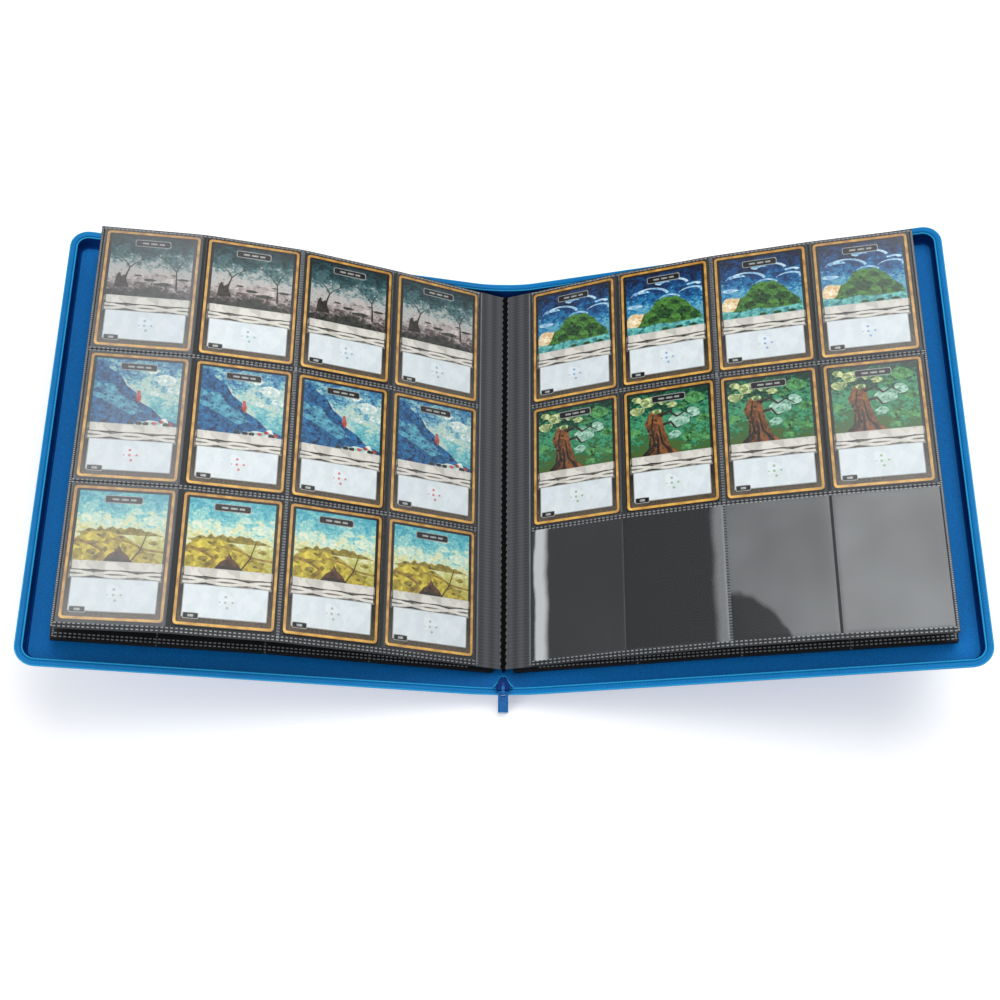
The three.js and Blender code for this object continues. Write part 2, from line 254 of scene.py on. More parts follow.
def clear_film(name, painted_glare, pattern=None):
    """Clear film: see-through, glossy at a glance, with a soft whitish veil of painted glare where it bows.
    """
    look = Look(name, (222, 226, 230), 0.3)
    normal = look.bump(look.noise(28, 1, 0.4), 0.1, 0.0006)
    clear = look.node("ShaderNodeBsdfTransparent")
    glossy = look.node("ShaderNodeBsdfGlossy", {"Roughness": 0.16, "Normal": normal})
    glance = look.node("ShaderNodeFresnel", {"IOR": 1.42, "Normal": normal})
    shine = look.times(glance.outputs[0], 0.2)
    skin = look.node("ShaderNodeMixShader", {0: shine, 1: clear.outputs[0], 2: glossy.outputs[0]})
    # The whitish veil is painted glare: diffuse white mixed over the film in place of reflected light.
    veil = look.times(look.spread(look.noise(14, 2, 0.6), 0.35, 1.65), painted_glare)
    if pattern:
        veil = pattern(look, veil)
    links = {0: veil, 1: skin.outputs[0], 2: look.shader.outputs[0]}
    both = look.node("ShaderNodeMixShader", links)
    look.tree.links.new(both.outputs[0], look.tree.nodes["Material Output"].inputs["Surface"])
    return look.material


def swayed(look):
    """Distance across the chart with a slow waver."""
    return look.scaled(look.noise(30, 2), 0.006, look.axis(0))


def glare_at_start(look, veil):
    """A bright upright band at the pocket's inner edge, fading outwards."""
    across = swayed(look)
    band = look.times(look.soft_step(across, -0.0288, -0.0262), look.soft_step(across, -0.0165, -0.0225))
    return look.math("MAXIMUM", veil, look.times(band, 0.55))


def glare_at_end(look, veil):
    """A fainter upright band at the pocket's outer edge."""
    rise = look.soft_step(swayed(look), 0.0255, 0.0315)
    return look.math("MAXIMUM", veil, look.times(rise, 0.13))


def glare_with_corner(look, veil):
    """An even veil of painted glare that stops at a curved line by the lower inner corner."""
    hill = look.math("POWER", look.times(look.plus(look.axis(0), 0.031), 26.0), 2.0)
    edge = look.plus(look.plus(look.axis(1), 0.042), look.scaled(hill, 0.035, -0.026))
    shown = look.soft_step(look.scaled(look.noise(90, 2), 0.008, edge), 0.002, 0.008)
    return look.times(veil, shown)


def painted(name, stops, blotch, touch, scale=9.0):
    """A painted backdrop: bands of colour up the panel, broken up by blotches and brush dabs."""
    look = Look(name, stops[0][1], 0.42, 0.2)
    large, small = look.noise(scale * 0.45, 4, 0.8), look.noise(scale * 3.5, 4, 0.5)
    height = look.axis(1)
    for pattern, share in ((large, blotch * 2.4), (small, blotch), (look.dabs(scale * 3.2), touch)):
        height = look.scaled(look.plus(pattern, -0.5), share, height)
    look.colour(height, stops)
    look.gloss(small, 0.36, 0.48)
    return look.material


def brushed(name, dark, light, scale=14.0):
    """One painted shape in mottled tones between two colours."""
    look = Look(name, light, 0.42, 0.2)
    tone = look.scaled(look.dabs(scale * 2.0), 0.45, look.times(look.noise(scale, 5, 0.7), 0.75))
    look.colour(tone, [(0.3, dark), (0.85, light)])
    look.gloss(tone, 0.36, 0.48)
    return look.material


# ---------------------------------------------------------------- mesh helpers


def always(value):
    return lambda *place: value


class Sculpt:
    """Gathers closed bodies in millimetres and makes one mesh of them."""

    def __init__(self):
        self.points, self.charts, self.faces, self.slots = [], [], [], []

    def body(self, points, charts, faces, slot=0):
        first = len(self.points)
        self.points += points
        self.charts += charts
        self.faces += [[first + i for i in face] for face in faces]
        self.slots += [slot] * len(faces)

    def slab(self, place, us, vs, low, high, slot=0):
        """A closed sheet over a grid; low and high give its two levels at (u, v)."""
        rows, columns = len(us), len(vs)
        points, charts, faces = [], [], []
        for level in (high, low):
            for u in us:
                for v in vs:
                    point = place(u, v, level(u, v))
                    points.append(point)
                    charts.append((u * MM, point[1] * MM))
        layer = rows * columns
        for i in range(rows - 1):
            for j in range(columns - 1):
                a = i * columns + j
                quad = [a, a + columns, a + columns + 1, a + 1]
                faces += [quad, [layer + k for k in reversed(quad)]]
        ring = list(range(columns))
        ring += [i * columns + columns - 1 for i in range(1, rows)]
        ring += [(rows - 1) * columns + j for j in range(columns - 2, -1, -1)]
        ring += [i * columns for i in range(rows - 2, 0, -1)]
        for a, b in zip(ring, ring[1:] + ring[:1]):
            faces.append([a, b, layer + b, layer + a])
        self.body(points, charts, faces, slot)

    def skin(self, loops, charts, slot=0):
        """A closed body over equal loops of points, from the first to the last."""
        count = len(loops[0])
        faces = [list(range(count)), [(len(loops) - 1) * count + k for k in reversed(range(count))]]
        for i in range(len(loops) - 1):
            for k in range(count):
                a, b = i * count + k, i * count + (k + 1) % count
                faces.append([a, b, b + count, a + count])
        self.body(sum(loops, []), charts, faces, slot)

    def loft(self, stations, profile, place, slot=0):
        """A closed outline carried along stations (s, y, inward s, inward y, length)."""
        loops = []
        for s, y, ds, dy, _ in stations:
            loops.append([place(s + inset * ds, y + inset * dy, n) for inset, n in profile])
        charts = [(station[-1] * MM, k * MM) for station in stations for k in range(len(profile))]
        self.skin(loops, charts, slot)

    def plate(self, place, outline, low, high, slot=0, chart=None):
        """A flat outline raised between two levels."""
        chart = chart or (lambda u, v: (u * MM, v * MM))
        loops = [[place(u, v, n) for u, v in outline] for n in (high, low)]
        self.skin(loops, [chart(u, v) for u, v in outline] * 2, slot)

    def ring(self, place, outer, inner, low, high, slot=0):
        """The band between two outlines with the same number of points."""
        count = len(outer)
        loops = [[place(u, v, n) for u, v in line] for n in (high, low) for line in (outer, inner)]
        points = sum(loops, [])
        charts = [(u * MM, v * MM) for _ in (high, low) for line in (outer, inner) for u, v in line]
        faces = []
        for k in range(count):
            following = (k + 1) % count
            for a, b in ((0, 1), (1, 3), (3, 2), (2, 0)):
                first, second = a * count, b * count
                faces.append([first + k, first + following, second + following, second + k])
        self.body(points, charts, faces, slot)

    def made(self, name, materials, smooth=40):
        mesh = bpy.data.meshes.new(name)
        scaled = [(x * MM, y * MM, z * MM) for x, y, z in self.points]
        mesh.from_pydata(scaled, [], self.faces)
        layer = mesh.uv_layers.new(name="Chart")
        for loop in mesh.loops:
            layer.data[loop.index].uv = self.charts[loop.vertex_index]
        for material in materials:
            mesh.materials.append(material)
        mesh.polygons.foreach_set("material_index", self.slots)
        shape = bmesh.new()
        shape.from_mesh(mesh)
        bmesh.ops.recalc_face_normals(shape, faces=shape.faces)
        shape.to_mesh(mesh)
        shape.free()
        mesh.shade_smooth()
        mesh.set_sharp_from_angle(angle=math.radians(smooth))
        piece = bpy.data.objects.new(name, mesh)
        bpy.context.scene.collection.objects.link(piece)
        return piece


def steps(low, high, spacing):
    count = max(1, round((high - low) / spacing))
    return [low + (high - low) * k / count for k in range(count + 1)]


def bent_strip(root, lengths, slopes, ease):
    """A path in the XZ plane made of straight runs with eased bends: u -> (x, z, slope)."""
    corners, starts = [root], [0.0]
    for length, slope in zip(lengths, slopes):
        angle = math.radians(slope)
        x, z = corners[-1]
        corners.append((x + length * math.cos(angle), z + length * math.sin(angle)))
        starts.append(starts[-1] + length)

    def at(u):
        run = 0
        while run < len(lengths) - 1 and u > starts[run + 1]:
            run += 1
        for bend in (run, run + 1):
            if 0 < bend < len(lengths) and abs(u - starts[bend]) < ease:
                before, after = math.radians(slopes[bend - 1]), math.radians(slopes[bend])
                x, z = corners[bend]
                x, z = x - ease * math.cos(before), z - ease * math.sin(before)
                angle = before + (after - before) * (u - starts[bend] + ease) / (2 * ease)
                radius = ease / math.tan((after - before) / 2)
                x += radius * (math.sin(angle) - math.sin(before))
                z -= radius * (math.cos(angle) - math.cos(before))
                return x, z, angle
        angle = math.radians(slopes[run])
        x, z = corners[run]
        ahead = u - starts[run]
        return x + ahead * math.cos(angle), z + ahead * math.sin(angle), angle

    at.corners = corners
    return at


def placer(side, at, level=0.0):
    """(u, y, n) on one side of the binder to a point, n standing off the path."""
    sign = SIDES[side]["sign"]

    def place(u, y, n):
        x, z, angle = at(u)
        off = n - level
        return (sign * (x - off * math.sin(angle)), y, z + off * math.cos(angle))

    return place


def cover_path(side):
    slopes = [0.0, SIDES[side]["tilt"]]
    return bent_strip((0.0, FOLD_Z), [FOLD_X, COVER_REACH], slopes, FOLD_EASE)


def leaf_path(side):
    lengths = [ROOT_STRIP + COLUMN_PITCH, COLUMN_PITCH, COLUMN_PITCH, COLUMN_PITCH + EDGE_STRIP]
    return bent_strip(LEAF_ROOT, lengths, SIDES[side]["slopes"], LEAF_EASE)


def lower_path(side):
    inner = ROOT_STRIP + 2 * COLUMN_PITCH
    return bent_strip(LOWER_ROOT, [inner, LEAF_WIDTH - inner], SIDES[side]["lower"], LOWER_EASE)


def column_placer(side, column):
    """(a, b, n) about the middle of a pocket column, a outwards and b towards the top."""
    x, z = leaf_path(side).corners[column]
    angle = math.radians(SIDES[side]["slopes"][column])
    sign = SIDES[side]["sign"]
    start = COLUMN_PITCH / 2 + (ROOT_STRIP if column == 0 else 0.0)

    def place(a, b, n):
        across = x + (start + a) * math.cos(angle) - n * math.sin(angle)
        return (sign * across, b, z + (start + a) * math.sin(angle) + n * math.cos(angle))

    return place


def metres(point):
    return tuple(c * MM for c in point)


def row_middle(row):
    return PAGE_Y + (1 - row) * ROW_PITCH


# ---------------------------------------------------------------- covers and zipper


STRAIGHT = COVER_WIDTH - COVER_CORNER
CORNER_ARC = COVER_CORNER * math.pi / 2
FORE_EDGE = COVER_HEIGHT - 2 * COVER_CORNER
EDGE_MARKS = [STRAIGHT, STRAIGHT + CORNER_ARC, STRAIGHT + CORNER_ARC + FORE_EDGE]
EDGE_MARKS += [EDGE_MARKS[-1] + CORNER_ARC]
EDGE_LENGTH = EDGE_MARKS[-1] + STRAIGHT
BENDING = 40.0


def edge_station(length):
    """A place on a cover's outer edge, by its distance along the edge from the spine."""
    half = COVER_HEIGHT / 2
    if length <= EDGE_MARKS[0]:
        return (length, -half, 0.0, 1.0, length)
    if length <= EDGE_MARKS[1]:
        turn = (length - EDGE_MARKS[0]) / COVER_CORNER - math.pi / 2
        middle = COVER_CORNER - half
    elif length <= EDGE_MARKS[2]:
        return (COVER_WIDTH, COVER_CORNER - half + length - EDGE_MARKS[1], -1.0, 0.0, length)
    elif length <= EDGE_MARKS[3]:
        turn = (length - EDGE_MARKS[2]) / COVER_CORNER
        middle = half - COVER_CORNER
    else:
        return (EDGE_LENGTH - length, half, 0.0, -1.0, length)
    out_s, out_y = math.cos(turn), math.sin(turn)
    return (STRAIGHT + COVER_CORNER * out_s, middle + COVER_CORNER * out_y, -out_s, -out_y, length)


def edge_stations():
    """Close together where the edge bends and at the corners, wider along the straights."""
    ends = [0.0, BENDING, *EDGE_MARKS, EDGE_LENGTH - BENDING, EDGE_LENGTH]
    marks = [0.0]
    for low, high, spacing in zip(ends, ends[1:], (2, 14, 1.7, 14, 1.7, 14, 2)):
        marks += steps(low, high, spacing)[1:]
    return [edge_station(mark) for mark in marks]


def oval(middle, radii, count=12):
    turns = [2 * math.pi * k / count for k in range(count)]
    return [(middle[0] + radii[0] * math.cos(t), middle[1] + radii[1] * math.sin(t)) for t in turns]


# Cross-sections of a cover's edge: (distance in from the edge, height above the cover's underside).
BEAD = [(0.3, 13.0), (0.5, 13.9), (1.2, 14.05), (3.1, 14.05), (3.5, 13.8), (3.6, 13.2), (3.3, 12.6),
        (0.6, 12.4)]
LIP = oval((0.55, 13.6), (0.55, 0.75), 10)
WEB = [(3.2, 13.0), (5.0, 13.0), (5.0, 12.4), (3.2, 12.4)]
PIPING = oval((4.6, 13.5), (0.55, 0.6), 10)
OUTER_WALL = [(2.6, 12.6), (3.4, 12.6), (4.0, 7.5), (3.9, 2.6), (3.1, 2.6), (3.2, 7.5)]
INNER_WALL = [(4.2, 12.7), (5.0, 12.9), (5.2, 10.5), (5.8, 7.0), (6.4, 4.9), (7.6, 4.1), (7.7, 3.6),
              (6.2, 3.6), (5.4, 4.9), (4.9, 7.0), (4.4, 10.5)]
SHELL_ROLL = [(2.9, 1.6), (3.0, 2.6), (3.7, 3.1), (5.6, 3.1), (6.2, 2.4), (6.2, 0.4), (5.6, 0.02),
              (3.8, 0.02), (3.1, 0.5)]
TOOTH = [(1.1, 13.8), (1.3, 14.2), (1.6, 14.28), (2.8, 14.28), (3.1, 14.15), (3.3, 13.6)]
TOOTH_PITCH, TOOTH_LENGTH = 2.0, 1.0
STITCH = [(7.1, 0.0), (7.4, 0.25), (7.7, 0.0), (7.4, -0.2)]
STITCH_PITCH, STITCH_LENGTH = 4.0, 2.6
SHELL_INSET, SHELL_LEVELS = 5.0, (0.02, 2.9)
LINING_INSET, LINING_LEVELS = 6.6, (3.0, LINING_TOP)


def cover_slab(shape, place, inset, levels):
    """A sheet over the whole cover from the middle of the spine, inset from the rim."""
    radius = COVER_CORNER - inset
    reach = COVER_WIDTH - inset

    def top(s):
        beyond = max(0.0, s - (reach - radius))
        return COVER_HEIGHT / 2 - inset - radius + math.sqrt(max(0.0, radius**2 - beyond**2))

    bends = steps(0, BENDING, 2) + steps(BENDING, reach - radius, 12)[1:]
    rounds = [reach - radius + radius * math.sin(math.pi / 2 * k / 8) for k in range(1, 9)]
    low, high = always(levels[0]), always(levels[1])
    shape.slab(lambda s, v, n: place(s, v * top(s), n), bends + rounds, steps(-1, 1, 1 / 12), low, high)


def along_edge(shape, place, profile, length, start, pitch, end, slot):
    """Short bits of one profile, repeated along the cover's edge."""
    mark = start
    while mark < end:
        shape.loft([edge_station(mark), edge_station(mark + length)], profile, place, slot)
        mark += pitch


def hinge_blend(piece, side):
    """Bakes the piece's placement into its mesh; the ends of the soft fold between the spine and its cover
    are worked out but not used.
    """
    sign = SIDES[side]["sign"]
    start = metres((sign * (FOLD_X - FOLD_EASE), 0, FOLD_Z))
    end = metres((sign * (FOLD_X + FOLD_EASE), 0, FOLD_Z))
    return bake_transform(piece)


def add_cover(side, looks):
    """The left cover's pieces also stand for the spine's own."""
    place = placer(side, cover_path(side), FOLD_Z)
    stations = edge_stations()
    left = side == "left"

    shell = Sculpt()
    cover_slab(shell, place, SHELL_INSET, SHELL_LEVELS)
    shell.loft(stations, SHELL_ROLL, place)
    last = EDGE_LENGTH - STITCH_PITCH
    along_edge(shell, place, STITCH, STITCH_LENGTH, STITCH_PITCH, STITCH_PITCH, last, 1)
    piece = shell.made(f"{side}_cover_shell", [looks["shell"], looks["stitch"]])
    nodes = [f"{side}_cover_skin", f"{side}_cover_board"]
    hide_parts(*nodes, *(["spine_skin", "spine_board"] if left else []))
    hinge_blend(piece, side)

    lining = Sculpt()
    cover_slab(lining, place, LINING_INSET, LINING_LEVELS)
    piece = lining.made(f"{side}_lining", [looks["lining"]])
    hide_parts(f"{side}_cover_lining", *(["spine_lining"] if left else []))
    hinge_blend(piece, side)

    walls = Sculpt()
    walls.loft(stations, OUTER_WALL, place, 0)
    # The inner wall's darker blue is painted shade for the shadow inside the rim.
    walls.loft(stations, INNER_WALL, place, 1)
    piece = walls.made(f"{side}_gusset", [looks["outer_wall"], looks["wall"]])
    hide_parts(f"{side}_gusset_wall", *(["spine_gusset_front", "spine_gusset_back"] if left else []))
    hinge_blend(piece, side)

    rim = Sculpt()
    # The piping and the outer lip are a lighter blue than the lining: painted highlights along the rim's
    # folds.
    for profile, slot in ((BEAD, 0), (WEB, 0), (PIPING, 1), (LIP, 1)):
        rim.loft(stations, profile, place, slot)
    half = TOOTH_PITCH / 2
    along_edge(rim, place, TOOTH, TOOTH_LENGTH, half, TOOTH_PITCH, EDGE_LENGTH - half, 2)
    piece = rim.made(f"{side}_zipper", [looks["tape"], looks["highlight_piping"], looks["teeth"]])
    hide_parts(f"{side}_zipper_chain")
    hinge_blend(piece, side)


# ---------------------------------------------------------------- leaves


DASH, DASH_PITCH = 1.6, 2.8
BEND_REACH = 8.0
FILM_EDGE, FILM_FLANK = 0.6, 1.2
FILM_BASE, FILM_THICKNESS = 0.42, 0.1
FILM_CROWN, EMPTY_CROWN = 1.32, 0.75
LOWER_LEAVES = [(-1.75, -0.4), (-0.55, 0.5), (0.65, -0.6), (1.85, 0.0)]
LOWER_HALF = 0.5
LOWER_REACH = LEAF_WIDTH - 5.0
LOWER_BEND = (135, 168)


def oblong(u, y, width, height):
    return [(u, y), (u + width, y), (u + width, y + height), (u, y + height)]


def weld_row(shape, place, low, high, y, level):
    """A dashed weld across a leaf, from u low to u high."""
    count = int((high - low) / DASH_PITCH)
    for k in range(count):
        u = low + (k + 0.25) * (high - low) / count
        shape.plate(place, oblong(u, y - 0.375, DASH, 0.75), level - 0.1, level + 0.14, 1)


def weld_column(shape, place, u, ends, level, width, pitch, slot=1):
    """A dashed weld up a leaf, at u."""
    low, high = ends
    count = int((high - low) / pitch)
    dash = pitch * DASH / DASH_PITCH
    for k in range(count):
        y = low + (k + 0.25) * (high - low) / count
        shape.plate(place, oblong(u - width / 2, y, width, dash), level - 0.1, level + 0.12, slot)


def weld_lines():
    """Heights of the dashed welds: at both ends and beside each row boundary."""
    lines = [PAGE_LOW + 1.4, PAGE_LOW + FOOT_STRIP + 0.5, PAGE_HIGH - 1.3]
    for boundary in (PAGE_HIGH - 2 * ROW_PITCH, PAGE_HIGH - ROW_PITCH):
        lines += [boundary - 0.75, boundary + 0.95]
    return lines


def leaf_piece(side, index, looks):
    """One strip of the top leaf, from the middle of a column of pockets to the middle of the next."""
    place = placer(side, leaf_path(side))
    middles = [ROOT_STRIP + (k + 0.5) * COLUMN_PITCH for k in range(COLUMNS)]
    low, high = [SHEET_HALF, *middles, LEAF_WIDTH - SHEET_HALF][index : index + 2]
    shape = Sculpt()
    us = steps(low, high, 2.5 if 0 < index < COLUMNS else 4)
    shape.slab(place, us, steps(PAGE_LOW, PAGE_HIGH, 23), always(-SHEET_HALF), always(SHEET_HALF))
    for y in weld_lines():
        weld_row(shape, place, max(low, ROOT_STRIP), min(high, LEAF_WIDTH - 1.4), y, SHEET_HALF)
    ends = (PAGE_LOW + 1, PAGE_HIGH - 1)
    if index == 0:
        weld_column(shape, place, ROOT_STRIP - 0.9, ends, SHEET_HALF, 0.7, 1.5)
    if index == 2:
        inner = (PAGE_LOW + 2, PAGE_HIGH - 2)
        weld_column(shape, place, ROOT_STRIP + index * COLUMN_PITCH, inner, SHEET_HALF, 1.9, 1.9, 2)
    if index == COLUMNS:
        weld_column(shape, place, LEAF_WIDTH - 1.1, ends, SHEET_HALF, 1.1, 1.4)
    piece = shape.made(f"{side}_leaf_sheet_{index}", [looks["sheet"], looks["weld"], looks["weld_dim"]], 30)
    return piece


def add_top_leaf(side, looks):
    place = placer(side, leaf_path(side))
    for index in range(COLUMNS + 1):
        piece = leaf_piece(side, index, looks)
        if index == 0:
            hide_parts(f"{side}_leaf_panel_1")
            if side == "right":
                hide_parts("right_leaf_stub")
                start, end = metres(place(SHEET_HALF, 0, 0)), metres(place(2 * STUB_LENGTH, 0, 0))
                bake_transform(piece)
                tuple(start)
                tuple(end)
            else:
                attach(piece, "left_leaf_1")
        elif index < COLUMNS:
            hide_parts(f"{side}_leaf_panel_{index + 1}")
            bend = ROOT_STRIP + index * COLUMN_PITCH
            start, end = metres(place(bend - BEND_REACH, 0, 0)), metres(place(bend + BEND_REACH, 0, 0))
            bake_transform(piece)
            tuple(start)
            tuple(end)
        else:
            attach(piece, f"{side}_leaf_{COLUMNS}")
    for column in range(COLUMNS):
        add_film(side, column, looks)
        for row, art in enumerate(SIDES[side]["art"]):
            if art:
                add_card(side, row, column, art, looks)


def film_steps(half, card, spacing):
    """Grid lines across a pocket's film, close together at the welds and at the card's edges."""
    inner = steps(1 - card / 2, card / 2 - 1, spacing)
    flank = [half - FILM_EDGE, half]
    return [-half, FILM_EDGE - half, -card / 2 - 0.1, *inner, card / 2 + 0.1, *flank]


def add_film(side, column, looks):
    """The clear fronts of one column's pockets, drawn down to the sheet at every weld."""
    place = column_placer(side, column)
    half_width, half_height = COLUMN_PITCH / 2 - 0.9, ROW_PITCH / 2 - 0.7
    shape = Sculpt()
    for row in range(ROWS):
        middle = row_middle(row)
        crown = FILM_CROWN if SIDES[side]["art"][row] else EMPTY_CROWN

        def low(a, b, middle=middle, crown=crown):
            gap = min(half_width - abs(a), half_height - abs(b - middle))
            return FILM_BASE + (crown - FILM_BASE) * max(0.0, min(1.0, gap / FILM_FLANK))

        def high(a, b, low=low):
            return low(a, b) + FILM_THICKNESS

        first = len(shape.points)
        up = [middle + v for v in film_steps(half_height, CARD_HEIGHT, 8.6)]
        shape.slab(place, film_steps(half_width, CARD_WIDTH, 6.8), up, low, high, row)
        shape.charts[first:] = [(u, v - middle * MM) for u, v in shape.charts[first:]]
    piece = shape.made(f"{side}_pocket_fronts_{column + 1}", looks["films"][side, column])
    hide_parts(f"{side}_pocket_film_{column + 1}")
    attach(piece, f"{side}_leaf_{column + 1}")


def add_lower_leaves(side, looks):
    """The leaves under the top leaf, each slipped a little differently."""
    place = placer(side, lower_path(side))
    near, far = LOWER_BEND
    us = steps(0.4, near, 15) + steps(near, far, 2.5)[1:] + steps(far, LOWER_REACH, 15)[1:]
    shape = Sculpt()
    for level, slip in LOWER_LEAVES:
        low, high = PAGE_LOW - LOWER_SLIP + slip, PAGE_HIGH - LOWER_SLIP + slip
        spans = [u * (LOWER_REACH + slip * 0.6) / LOWER_REACH for u in us]
        face = level + LOWER_HALF
        shape.slab(place, spans, steps(low, high, 40), always(level - LOWER_HALF), always(face))
        top_leaf = level == LOWER_LEAVES[-1][0]
        for y in [y - LOWER_SLIP + slip for y in weld_lines()] if top_leaf else [low + 1.3]:
            weld_row(shape, place, ROOT_STRIP, LOWER_REACH - 2, y, face)
        weld_column(shape, place, LOWER_REACH - 1.5, (low + 1, high - 1), face, 0.9, 1.4)
    for k in range(1, COLUMNS):
        bend = ROOT_STRIP + k * COLUMN_PITCH
        weld_column(shape, place, bend, (PAGE_LOW - 2, PAGE_HIGH - 4), face, 0.8, 1.9, 2)
    # The lower leaves' sheet is a darker copy of the page sheet: painted shade under the top leaf.
    piece = shape.made(f"{side}_lower_leaves", [looks["lower"], looks["weld"], looks["weld_dim"]], 30)
    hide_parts(f"{side}_lower_leaves_inner", f"{side}_lower_leaves_outer")
    start, end = metres(place(near, 0, 0)), metres(place(far, 0, 0))
    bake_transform(piece)
    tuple(start)
    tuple(end)


BINDING_TOP = 13.1
BINDING_HALF, CORE_HALF = 1.5, 0.8
ZIGZAG_PERIOD, ZIGZAG_SWING = 4.6, 1.6
THREAD_RADIUS = 0.95
THREAD_SIDES = 8
THREAD_STATIONS = [(-0.12, 0.35), (0.0, 0.85), (0.5, 1.0), (1.0, 0.85), (1.12, 0.35)]
ROOT_LEVELS = {1.1: 13.1, 1.9: 12.95, 2.4: 12.85, 2.9: 12.8}
ROOT_THICKNESS = 0.45


def upright(x, y, n):
    return (x, y, n)


def add_binding(looks):
    """Black tape over the bound edges with a zigzag of thick thread."""
    shape = Sculpt()
    crown = lambda x, y: BINDING_TOP + 0.25 - 0.07 * x * x
    ends = steps(PAGE_LOW, PAGE_HIGH, 40)
    xs = steps(-BINDING_HALF, BINDING_HALF, 0.5)
    shape.slab(upright, xs, ends, lambda x, y: crown(x, y) - 0.4, crown)
    shape.slab(upright, [-CORE_HALF, CORE_HALF], ends, always(LINING_TOP + 0.1), always(BINDING_TOP))
    y, swing = PAGE_LOW + 1.5, ZIGZAG_SWING
    while y < PAGE_HIGH - 3:
        add_thread(shape, (-swing, y), (swing, y + ZIGZAG_PERIOD / 2), BINDING_TOP + 0.45)
        y, swing = y + ZIGZAG_PERIOD / 2, -swing
    piece = shape.made("binding_stitch", [looks["tape_black"], looks["thread"]])
    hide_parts("page_binding")
    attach(piece, "spine")


def add_thread(shape, start, end, level):
    """A short straight bit of thread with rounded ends, lying level."""
    dx, dy = end[0] - start[0], end[1] - start[1]
    length = math.hypot(dx, dy)
    loops = []
    for along, share in THREAD_STATIONS:
        x, y = start[0] + dx * along, start[1] + dy * along
        round_it = oval((0, 0), (THREAD_RADIUS * share, THREAD_RADIUS * share), THREAD_SIDES)
        loops.append([(x - dy / length * out, y + dx / length * out, level + up) for out, up in round_it])
    shape.skin(loops, [(x * MM, y * MM) for loop in loops for x, y, _ in loop], 1)


def add_root_strips(looks):
    """The short soft edge between the binding and each top leaf."""
    for side, body in (("left", "left_leaf_1"), ("right", "right_leaf_stub")):
        sign = SIDES[side]["sign"]
        shape = Sculpt()
        place = lambda x, y, n, sign=sign: (sign * x, y, n)
        low = lambda x, y: ROOT_LEVELS[x] - ROOT_THICKNESS
        high = lambda x, y: ROOT_LEVELS[x]
        shape.slab(place, list(ROOT_LEVELS), steps(PAGE_LOW, PAGE_HIGH, 40), low, high)
        piece = shape.made(f"{side}_leaf_root", [looks["sheet"]])
        metres((sign * 1.9, 0, 12.8))
        metres((sign * 2.9, 0, 12.8))
        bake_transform(piece)


# ---------------------------------------------------------------- cards


def rounded(width, height, radius, middle=(0.0, 0.0), count=4):
    points = []
    for turn, (sx, sy) in enumerate(((1, -1), (1, 1), (-1, 1), (-1, -1))):
        for k in range(count + 1):
            angle = math.pi / 2 * (turn - 1 + k / count)
            x = middle[0] + sx * (width / 2 - radius) + radius * math.cos(angle)
            y = middle[1] + sy * (height / 2 - radius) + radius * math.sin(angle)
            points.append((x, y))
    return points


def stroke(points, start, end):
    """A line of varying width as an outline."""
    left, right = [], []
    for k, (x, y) in enumerate(points):
        before, after = points[max(k - 1, 0)], points[min(k + 1, len(points) - 1)]
        dx, dy = after[0] - before[0], after[1] - before[1]
        length = math.hypot(dx, dy) or 1.0
        width = (start + (end - start) * k / (len(points) - 1)) / 2
        left.append((x - dy / length * width, y + dx / length * width))
        right.append((x + dy / length * width, y - dx / length * width))
    return left + right[::-1]


def skyline(rng, low, high, start, end, count, rough):
    """A ragged hill line from start to end across the panel, closed along its foot."""
    line = []
    for k in range(count + 1):
        share = k / count
        x = start + (end - start) * share
        y = low + (high - low) * math.sin(math.pi * share) + rng.uniform(-rough, rough)
        line.append((x, max(low + 0.01, y)))
    return [(start, low)] + line[1:-1] + [(end, low)]


def tree(rng, x, y, height, lean=0.0, depth=3, width=0.035):
    """A bare tree as a list of strokes."""
    top = (x + lean * height, y + height)
    middle = (x + lean * height * 0.35, y + height * 0.5)
    found = [stroke([(x, y), middle, top], width, width * 0.5)]
    if depth:
        for turn in (-1, 1):
            found += tree(rng, *top, height * rng.uniform(0.5, 0.7), lean + turn * rng.uniform(0.5, 0.9),
                          depth - 1, width * 0.55)
    return found


CLUMP_POINTS = 11


def clump(rng, x, y, radius, squash=0.75):
    turns = [2 * math.pi * k / CLUMP_POINTS for k in range(CLUMP_POINTS)]
    spans = [radius * rng.uniform(0.75, 1.15) for _ in turns]
    return [(x + r * math.cos(t), y + r * math.sin(t) * squash) for t, r in zip(turns, spans)]


class Picture:
    """Shapes over a painted backdrop, in shares of the panel: (material, outline)."""

    def __init__(self, seed):
        self.rng = random.Random(seed)
        self.layers = []

    def add(self, name, *outlines):
        self.layers += [(name, outline) for outline in outlines]

    def clumps(self, name, *places, squash=0.75):
        self.add(name, *[clump(self.rng, x, y, radius, squash) for x, y, radius in places])

    def hills(self, name, *shape):
        self.add(name, skyline(self.rng, *shape))

    def strokes(self, name, start, end, *lines):
        self.add(name, *[stroke(list(line), start, end) for line in lines])


def paint_mist(art):
    art.hills("fog", 0.26, 0.4, 0.0, 1.0, 18, 0.04)
    art.hills("mire", 0.0, 0.14, 0.0, 1.0, 20, 0.05)
    art.clumps("mire", (0.5, 0.3, 0.08), (0.66, 0.24, 0.1), (0.36, 0.36, 0.05), (0.9, 0.34, 0.07),
               (0.78, 0.4, 0.04), squash=0.3)
    art.add("bark", [(0.08, 0.16), (0.1, 0.34), (0.13, 0.4), (0.16, 0.33), (0.2, 0.36), (0.26, 0.16)])
    art.add("bark", *tree(art.rng, 0.83, 0.16, 0.3, -0.05, 4, 0.03))
    art.add("bark", *tree(art.rng, 0.2, 0.24, 0.24, 0.2, 3, 0.03))


